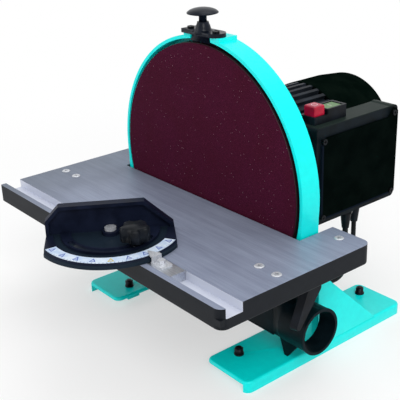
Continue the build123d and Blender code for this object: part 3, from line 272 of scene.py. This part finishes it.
def blackMat(name, dark, lightTone, rough, grain, spec=0.06, coat=0.0):
    s = Shade(name)
    p = s.place()
    soft = s.noise(p, 22, 4)
    tiny = s.noise(p, grain, 3, 0.6)
    base = s.mix(s.step(soft, 0.35, 0.7), dark, lightTone)
    return s.finish(base, rough - 0.08 + 0.16 * soft, spec=spec, coat=coat,
                    normal=s.bump(tiny * 0.5 + soft * 0.3, 0.12, 0.45))


def boxMat():
    s = Shade("boxPlastic")
    p = s.place()
    x, y, z = s.split(p)
    tiny = s.noise(p, 0.8, 3)
    soft = s.noise(p, 26, 4)
    crown = s.step(z, 255.5, 257.2)
    base = s.mix(s.step(soft, 0.3, 0.7), srgb(8, 14, 15), srgb(18, 26, 32))
    base = s.mix(crown, base, srgb(31, 41, 38))
    return s.finish(base, 0.36 + 0.2 * soft, spec=0.06, normal=s.bump(tiny, 0.06, 0.4))


def lidMat():
    s = Shade("lidPlastic")
    p = s.place()
    x, y, z = s.split(p)
    # painted highlight: the lid's edge bevels are painted a lighter blue
    bevelHighlight = s.math("MAXIMUM", s.step(y, 126.4, 125.2), s.step(z, 147.6, 146.4))
    soft = s.noise(p, 30, 4)
    base = s.mix(s.step(soft, 0.3, 0.7), srgb(4, 9, 8), srgb(8, 15, 13))
    base = s.mix(bevelHighlight * 0.8, base, srgb(22, 28, 40))
    return s.finish(base, 0.34 + 0.18 * soft, spec=0.0,
                    normal=s.bump(s.noise(p, 1.2, 3), 0.04, 0.4))


def gaugeMat():
    s = Shade("gaugeEnamel")
    p = s.place()
    x, y, z = s.split(p)
    tiny = s.noise(p, 1.1, 3)
    soft = s.noise(p, 18, 4)
    floor = s.step(z, 165.6, 164.2)
    base = s.mix(s.step(soft, 0.3, 0.7), srgb(14, 19, 34), srgb(22, 28, 46))
    base = s.mix(floor * 0.75, base, srgb(28, 40, 50))
    return s.finish(base, 0.30 + 0.2 * soft, spec=0.05,
                    normal=s.bump(tiny * 0.5 + soft * 0.4, 0.1, 0.5))


def scaleMat():
    s = Shade("scalePrint")
    p = s.place()
    x, y, z = s.split(p)
    u, v = x - gauge["x"], y - gauge["y"]
    radius = s.math("SQRT", u * u + v * v)
    angle = s.math("ARCTAN2", v, u) * (180 / math.pi) + 33.4       # 0 at the middle mark
    part = s.math("ROUND", angle / 15.0)
    off = abs(angle - part * 15.0) * radius * (math.pi / 180)      # arc length from the mark
    inner, outer = 65.6, 73.4
    rise = (radius - inner) / (outer - inner)
    width = 3.6 * (1 - rise)                                         # triangles point inwards
    inside = (off < 3.6 * rise) * (radius > inner) * (radius < outer)
    hollow = (off < 3.6 * rise - 1.0) * (radius < outer - 0.9)
    mark = inside * (1 - hollow * 0.75) * (abs(part) < 4.5)
    fine = s.math("ROUND", angle / 3.0)
    tick = (abs(angle - fine * 3.0) < 0.22) * (radius > 74.2)
    yellow = abs(part) < 0.5
    wash = s.noise(p, 9, 3)
    paper = s.mix(s.step(wash, 0.3, 0.7), srgb(184, 204, 232), srgb(216, 228, 240))
    ink = s.mix(yellow, srgb(42, 74, 168), srgb(196, 172, 40))
    base = s.mix(mark, paper, ink)
    base = s.mix(tick * 0.7, base, srgb(60, 80, 130))
    return s.finish(base, 0.34 + 0.1 * wash, spec=0.4, normal=s.bump(wash, 0.02, 0.3))


def metalMat(name, low, high, rough, grain=1.2, across=(1, 1, 1), metal=1.0):
    s = Shade(name)
    p = s.place()
    fine = s.noise(s.stretch(p, across), grain, 4, 0.6)
    soft = s.noise(p, 8, 3)
    base = s.mix(s.step(fine, 0.3, 0.7), low, high)
    return s.finish(base, rough + 0.18 * soft, metal=metal, normal=s.bump(fine, 0.05, 0.5))


def buttonMat(name, low, high, markX, markY, topZ, ring):
    s = Shade(name)
    p = s.place()
    x, y, z = s.split(p)
    u, v = x - markX, y - markY
    if ring:
        away = abs(s.math("SQRT", u * u + v * v) - 3.4)
        mark = (away < 0.45) * (z > topZ - 0.3)
    else:
        mark = (abs(v) < 0.45) * (abs(u) < 3.2) * (z > topZ - 0.3)
    soft = s.noise(p, 12, 3)
    base = s.mix(s.step(soft, 0.3, 0.7), low, high)
    # painted highlight: the button's top is painted paler than its sides
    crown = s.step(z, topZ - 1.6, topZ)
    base = s.mix(crown * 0.3, base, srgb(150, 96, 112) if ring else srgb(112, 140, 100))
    base = s.mix(mark * 0.8, base, srgb(222, 200, 205))
    return s.finish(base, 0.32 + 0.14 * soft, spec=0.25, coat=0.08,
                    normal=s.bump(s.noise(p, 0.9, 3), 0.03, 0.4))


def rubberMat():
    s = Shade("cordSheath")
    p = s.place()
    soft = s.noise(p, 16, 4)
    fine = s.noise(p, 0.8, 3)
    base = s.mix(s.step(soft, 0.3, 0.7), srgb(15, 15, 17), srgb(28, 28, 31))
    return s.finish(base, 0.46 + 0.16 * soft, spec=0.12, normal=s.bump(fine, 0.05, 0.4))


mats = {
    "paint": paintMat(), "grit": gritMat(), "disc": discMat(), "table": tableMat(),
    "plastic": blackMat("coverPlastic", srgb(6, 17, 22), srgb(14, 28, 34), 0.44, 0.7),
    "grip": blackMat("gripPlastic", srgb(12, 15, 19), srgb(22, 26, 33), 0.36, 0.6, 0.10),
    "brake": blackMat("brakePlastic", srgb(12, 18, 28), srgb(22, 29, 42), 0.30, 0.8, 0.14),
    "motor": blackMat("motorPaint", srgb(24, 28, 34), srgb(38, 43, 51), 0.42, 1.4, 0.08),
    "cowl": blackMat("cowlPaint", srgb(4, 12, 9), srgb(9, 18, 14), 0.34, 1.1, 0.0),
    "trunnion": blackMat("trunnionPaint", srgb(15, 17, 20), srgb(26, 29, 33), 0.48, 1.2),
    "box": boxMat(), "lid": lidMat(), "gauge": gaugeMat(), "scale": scaleMat(),
    "zinc": metalMat("brightZinc", srgb(176, 180, 186), srgb(214, 216, 222), 0.3, metal=0.45),
    "steel": metalMat("groundSteel", srgb(112, 114, 120), srgb(150, 152, 158), 0.30, 0.8,
                      (1, 0.1, 1)),
    "bar": metalMat("gaugeBar", srgb(168, 172, 180), srgb(206, 210, 216), 0.28, 0.9,
                    (0.05, 1, 1)),
    "oxide": metalMat("blackOxide", srgb(26, 28, 31), srgb(44, 46, 50), 0.36),
    "copper": metalMat("windingWire", srgb(128, 66, 38), srgb(176, 98, 58), 0.34, 0.6),
    "red": buttonMat("stopRed", srgb(158, 0, 38), srgb(186, 4, 50), 93.5, 134.8, 277.5, True),
    "green": buttonMat("startGreen", srgb(54, 96, 42), srgb(78, 122, 62), 93.5, 160, 271.4,
                       False),
    "rubber": rubberMat(),
}
wear = {
    "paint": ["base_casting"],
    "grit": ["abrasive_disc"],
    "disc": ["disc_plate"],
    "table": ["table"],
    "plastic": ["lower_cover", "cooling_fan"],
    "grip": ["lock_lever_right", "lock_lever_left", "miter_knob", "switch_body", "mains_gland",
             "lead_gland", "motor_gland", "mains_plug", "cord_tie", "run_capacitor"],
    "brake": ["brake_body", "brake_knob"],
    "motor": ["motor_body", "front_shield", "rear_shield"],
    "cowl": ["fan_cowl"],
    "trunnion": ["trunnion_left", "trunnion_right"],
    "box": ["switch_box"],
    "lid": ["box_cover"],
    "gauge": ["miter_head"],
    "scale": ["miter_scale"],
    "zinc": ["table_screws", "miter_pivot", "miter_pointer", "pointer_bolt", "plug_pins"],
    "bar": ["miter_bar"],
    "steel": ["motor_shaft", "disc_key", "disc_set_screw", "front_bearing", "rear_bearing",
              "rotor_core", "stator_core", "brake_stem", "brake_spring", "pivot_pins",
              "lock_studs", "miter_stud"],
    "oxide": ["foot_bolts", "foot_nuts", "brake_screws", "box_screws", "cover_screws"],
    "copper": ["windings"],
    "red": ["stop_button"],
    "green": ["start_button"],
    "rubber": ["mains_cord", "mains_cord_coil", "motor_lead", "brake_shoe"],
}
for key, names in wear.items():
    for name in names:
        data = nodes[name].data
        data.materials.clear()
        data.materials.append(mats[key])
bare = set(nodes) - {n for names in wear.values() for n in names}
print("materials set, nodes without one:", sorted(bare))


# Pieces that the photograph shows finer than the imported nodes. Each starts from a merged copy
# of a node's mesh, so it stays where the node is.
def mergedCopy(name):                   # the mesh of a node and its points in millimetres
    bm = bmesh.new()
    bm.from_mesh(nodes[name].data)
    bmesh.ops.remove_doubles(bm, verts=bm.verts, dist=2e-6)
    mesh = bpy.data.meshes.new(name + "Copy")
    bm.to_mesh(mesh)
    bm.free()
    points = np.empty(len(mesh.vertices) * 3)
    mesh.vertices.foreach_get("co", points)
    return mesh, points.reshape(-1, 3) / mm


def setPoints(mesh, points):
    mesh.vertices.foreach_set("co", (points * mm).ravel())
    mesh.update()


def prism(outline, low, high, along="z"):       # an outline carried straight from low to high
    flat = np.array(outline, float)
    n = len(flat)
    points = np.vstack([np.column_stack((flat, np.full(n, level))) for level in (low, high)])
    if along == "y":
        points = points[:, [0, 2, 1]]
    k = np.arange(n)
    sides = np.column_stack((k, np.roll(k, -1), np.roll(k, -1) + n, k + n))
    mesh = bpy.data.meshes.new("tool")
    mesh.from_pydata((points * mm).tolist(), [],
                     sides.tolist() + [k[::-1].tolist(), (k + n).tolist()])
    bm = bmesh.new()
    bm.from_mesh(mesh)
    bmesh.ops.recalc_face_normals(bm, faces=bm.faces)
    bm.to_mesh(mesh)
    bm.free()
    return mesh


def box(x0, x1, y0, y1, z0, z1):
    return prism([(x0, y0), (x1, y0), (x1, y1), (x0, y1)], z0, z1)


def cutAway(mesh, tools):               # the mesh less the tools' space
    scene = bpy.context.scene.collection.objects
    work = bpy.data.objects.new("work", mesh)
    scene.link(work)
    helpers = []
    for tool in tools:
        helper = bpy.data.objects.new("tool", tool)
        scene.link(helper)
        helpers.append(helper)
        cut = work.modifiers.new("cut", "BOOLEAN")
        cut.operation, cut.solver, cut.object = "DIFFERENCE", "EXACT", helper
    bpy.context.view_layer.update()
    done = bpy.data.meshes.new_from_object(
        work.evaluated_get(bpy.context.evaluated_depsgraph_get()))
    for obj in [work] + helpers:
        bpy.data.objects.remove(obj)
    return done


def addPiece(mesh, name, key, body, replaced=()):
    mesh.shade_smooth()
    mesh.set_sharp_from_angle(angle=0.6)
    mesh.materials.clear()
    mesh.materials.append(mats[key])
    obj = bpy.data.objects.new(name, mesh)
    bpy.context.scene.collection.objects.link(obj)
    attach(obj, body)
    if replaced:
        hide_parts(*replaced)
    return obj


def softEdges(obj, width):              # rounds the sharp edges of a cast or moulded piece
    bm = bmesh.new()
    bm.from_mesh(obj.data)
    bmesh.ops.dissolve_limit(bm, angle_limit=0.012, verts=bm.verts, edges=bm.edges)
    bm.to_mesh(obj.data)
    bm.free()
    bevel = obj.modifiers.new("edges", "BEVEL")
    bevel.limit_method, bevel.angle_limit = "ANGLE", math.radians(40)
    bevel.width, bevel.segments = width * mm, 2
    bevel.harden_normals = True


def makeCasting():                      # feet are plates with a turned-down outer wall
    c = castingForm
    half, apart = c["bossHalf"], boltForm["apart"]
    front, rear = c["footY"]
    tools = []
    for s in (-1, 1):
        inner, wall, boss = s * c["inner"], s * c["wall"], s * c["boss"]
        tools.append(prism([(inner, front), (wall, front), (wall, -half), (boss, -half),
                            (boss, half), (wall, half), (wall, apart - half),
                            (boss, apart - half), (boss, apart + half), (wall, apart + half),
                            (wall, rear), (inner, rear)], -1, c["plate"]))
    for low, high in c["pads"]:                     # the brake pads end with the housing
        x = np.linspace(low, high, 14)
        arc = np.column_stack((x, axisZ + np.sqrt(c["rimR"] ** 2 - x ** 2)))
        tools.append(prism([*arc.tolist(), (high, c["padTop"]), (low, c["padTop"])],
                           *c["padY"], "y"))
    turn = np.radians(np.linspace(*c["ribTurn"], 7))        # the ribs behind end inside the rim
    for s in (-1, 1):
        ring = [(s * d * math.cos(a), axisZ + d * math.sin(a))
                for d, order in ((c["ribEnd"], turn), (c["ribOut"], turn[::-1])) for a in order]
        tools.append(prism(ring, *c["ribY"], "y"))
    mesh = cutAway(mergedCopy("base_casting")[0], tools)
    softEdges(addPiece(mesh, "castBody", "paint", "base", ["base_casting"]),
              c["edge"])


def makeCover():                        # open behind, so light shows through the port
    mesh = cutAway(mergedCopy("lower_cover")[0], [box(*coverForm["window"])])
    softEdges(addPiece(mesh, "dustCover", "plastic", "base", ["lower_cover"]),
              coverForm["edge"])


def slimmer(points, factor):            # radii round each bolt's own axis times the factor
    for s in (-1, 1):
        side = points[:, 0] * s > 0
        for k in (0, 1):
            mid = (points[side, k].min() + points[side, k].max()) / 2
            points[side, k] = mid + (points[side, k] - mid) * factor
    return points


def makeFootBolts():                    # the rear ones slimmer, and the same at the front holes
    for name, rear, front in (("foot_bolts", "rearBolts", "frontBolts"),
                              ("foot_nuts", "rearNuts", "frontNuts")):
        mesh, points = mergedCopy(name)
        points = slimmer(points, boltForm["scale"])
        points[:, 2] = np.minimum(points[:, 2], boltForm["top"])
        setPoints(mesh, points)
        ahead = mesh.copy()
        addPiece(mesh, rear, "oxide", "base", [name])
        points[:, 1] -= boltForm["apart"]
        setPoints(ahead, points)
        addPiece(ahead, front, "oxide", "base")


def makeGrip():                         # the gauge's knob, slimmer round its stud
    mesh, points = mergedCopy("miter_knob")
    mid = np.array((gauge["x"] + gauge["knobOut"], gauge["y"]))
    away = points[:, :2] - mid
    far = np.hypot(*away.T) > gauge["knobHub"]
    points[far, :2] = mid + away[far] * gauge["knobScale"]
    setPoints(mesh, points)
    addPiece(mesh, "gaugeKnob", "grip", "gauge_knob", ["miter_knob"])


def makeBrake():
    form, cad = brakeForm, brakeCad
    cy = form["y"]

    def radial(points, rule):           # moves points towards or away from the button's axis
        dx, dy = points[:, 0], points[:, 1] - cy
        d = np.maximum(np.hypot(dx, dy), 1e-6)
        k = rule(d) / d
        return dx * k, cy + dy * k

    def flange(x, y):                   # narrows the flange, each end by its own share
        side = np.where(x < 0, form["left"], form["right"]) / cad["half"]
        return x * side, form["front"] + (y - cad["front"]) * form["depth"] / cad["depth"]

    mesh, points = mergedCopy("brake_knob")         # the stem slightly, the mushroom top much
    span = (form["buttonR"] - form["stemR"]) / (cad["buttonR"] - cad["stemR"])
    points[:, 0], points[:, 1] = radial(points, lambda d: np.where(
        d < cad["stemR"], form["stemR"] / cad["stemR"] * d,
        form["stemR"] + (d - cad["stemR"]) * span))
    setPoints(mesh, points)
    addPiece(mesh, "brakeButton", "brake", "brake", ["brake_knob"])

    mesh, points = mergedCopy("brake_body")
    x, y, z = points.T
    coneX, coneY = radial(points, lambda d: np.where(
        d < cad["neckR"], d - 0.35, form["neckR"] + (d - cad["neckR"]) * form["coneScale"]))
    flangeX, flangeY = flange(x, y)
    cone = (z > form["z"] + 4.6) | (np.hypot(x, y - cy) < cad["boreR"])
    plate = (z > form["z"] - 0.1) & ~cone
    points[:, 0] = np.where(cone, coneX, np.where(plate, flangeX, x))
    points[:, 1] = np.where(cone, coneY, np.where(plate, flangeY, y))
    setPoints(mesh, points)
    addPiece(mesh, "brakeHousing", "brake", "base", ["brake_body"])

    mesh, points = mergedCopy("brake_screws")       # moved in with the flange's holes
    holeX = np.where(points[:, 0] < 0, -cad["screwX"], cad["screwX"])
    newX, newY = flange(holeX, cy)
    points[:, 0] += newX - holeX
    points[:, 1] += newY - cy
    setPoints(mesh, points)
    addPiece(mesh, "brakeScrews", "oxide", "base", ["brake_screws"])


makeCasting()
makeCover()
makeFootBolts()
makeGrip()
makeBrake()
print("reworked pieces made")


def coilPoint(t):                       # in on the lower layer, out on the upper one
    half = cord["turns"] / 2
    inward = t if t < half else cord["turns"] - t
    r = cord["outer"] - cord["pitch"] * inward
    climb = min(1.0, max(0.0, (t - half + 0.25) / 0.5))
    lift = cord["pitch"] * (3 * climb ** 2 - 2 * climb ** 3)
    a = math.radians(90 + 360 * t)
    return (cord["coilX"] + r * math.cos(a), cord["coilY"] + r * math.sin(a),
            cord["low"] + lift)


def layCord():
    back = cord["coilY"] + cord["outer"]
    route = [cord["exit"], *cord["drop"], (50, back, cord["low"])]
    count = int(cord["turns"] * cord["perTurn"])
    route += [coilPoint(k * cord["turns"] / count) for k in range(count + 1)]
    end = route[-1]
    route.append((end[0] + cord["tail"], end[1], end[2]))
    curve = bpy.data.curves.new("mainsLead", "CURVE")
    curve.dimensions = "3D"
    curve.bevel_depth = cord["diameter"] / 2 * mm
    curve.bevel_resolution = 5
    curve.resolution_u = 6
    curve.use_fill_caps = True
    spline = curve.splines.new("NURBS")
    spline.points.add(len(route) - 1)
    for point, place in zip(spline.points, route):
        point.co = (*(c * mm for c in place), 1.0)
    spline.order_u = 3
    spline.use_endpoint_u = True
    obj = bpy.data.objects.new("mainsLead", curve)
    bpy.context.scene.collection.objects.link(obj)
    curve.materials.append(mats["rubber"])
    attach(obj, "base")
    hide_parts("mains_cord", "mains_cord_coil")


layCord()
print("cord laid")


def addLamp(name, place, size, power):
    data = bpy.data.lights.new(name, "AREA")
    data.shape, data.size, data.energy = "DISK", size, power
    obj = bpy.data.objects.new(name, data)
    way = (Vector(place) - Vector(light["aim"])).normalized()
    obj.matrix_world = Matrix.Translation(place) @ way.to_track_quat("Z", "Y").to_matrix().to_4x4()
    bpy.context.scene.collection.objects.link(obj)


def seenRay(s):                         # 1 for what the camera sees, also in a mirror or glass
    path = s.make("ShaderNodeLightPath", {}, {})
    return s.math("MAXIMUM", Val(s, path.outputs["Is Camera Ray"]),
                  s.math("MAXIMUM", Val(s, path.outputs["Is Glossy Ray"]),
                         Val(s, path.outputs["Is Transmission Ray"])))


def addFloor():
    mesh = bpy.data.meshes.new("floor")
    half = light["floorHalf"]
    mesh.from_pydata([(-half, -half, 0), (half, -half, 0), (half, half, 0), (-half, half, 0)],
                     [], [(0, 1, 2, 3)])
    floor = bpy.data.objects.new("floor", mesh)
    bpy.context.scene.collection.objects.link(floor)
    s = Shade("floorPaper")
    soft = s.noise(s.place(), 60, 3)
    s.finish(s.mix(soft, (0.93, 0.93, 0.93), (0.95, 0.95, 0.95)), 0.9, spec=0.1)
    paper = s.end.inputs[0].links[0].from_socket
    seen = seenRay(s)
    glow = s.make("ShaderNodeEmission", {}, {"Color": (1, 1, 1, 1), "Strength": 1.0})
    across = s.make("ShaderNodeVectorMath", {"operation": "LENGTH"}, {0: s.place()})
    far = s.step(Val(s, across.outputs["Value"]), 300, 1100)       # white away from the object
    lift = light["floorLift"] + (1 - light["floorLift"]) * far
    blend = s.make("ShaderNodeMixShader", {}, {0: seen * lift, 1: Val(s, paper),
                                               2: Val(s, glow.outputs[0])})
    s.tree.links.new(blend.outputs[0], s.end.inputs[0])
    mesh.materials.append(s.mat)


def addSky():                           # white to the camera, dimmer as a lamp
    world = bpy.data.worlds.new("world")
    bpy.context.scene.world = world
    s = Shade("sky", world)
    level = s.make("ShaderNodeMapRange", {}, {"Value": seenRay(s), "To Min": light["world"],
                                              "To Max": 1.0})
    shade = s.make("ShaderNodeBackground", {}, {"Color": (1, 1, 1, 1),
                                                "Strength": Val(s, level.outputs[0])})
    s.tree.links.new(shade.outputs[0], s.end.inputs[0])


addFloor()
addSky()
for name, lamp in lamps.items():
    addLamp(name, **lamp)
bpy.context.scene.view_settings.view_transform = "Standard"
print("stage and lights set")
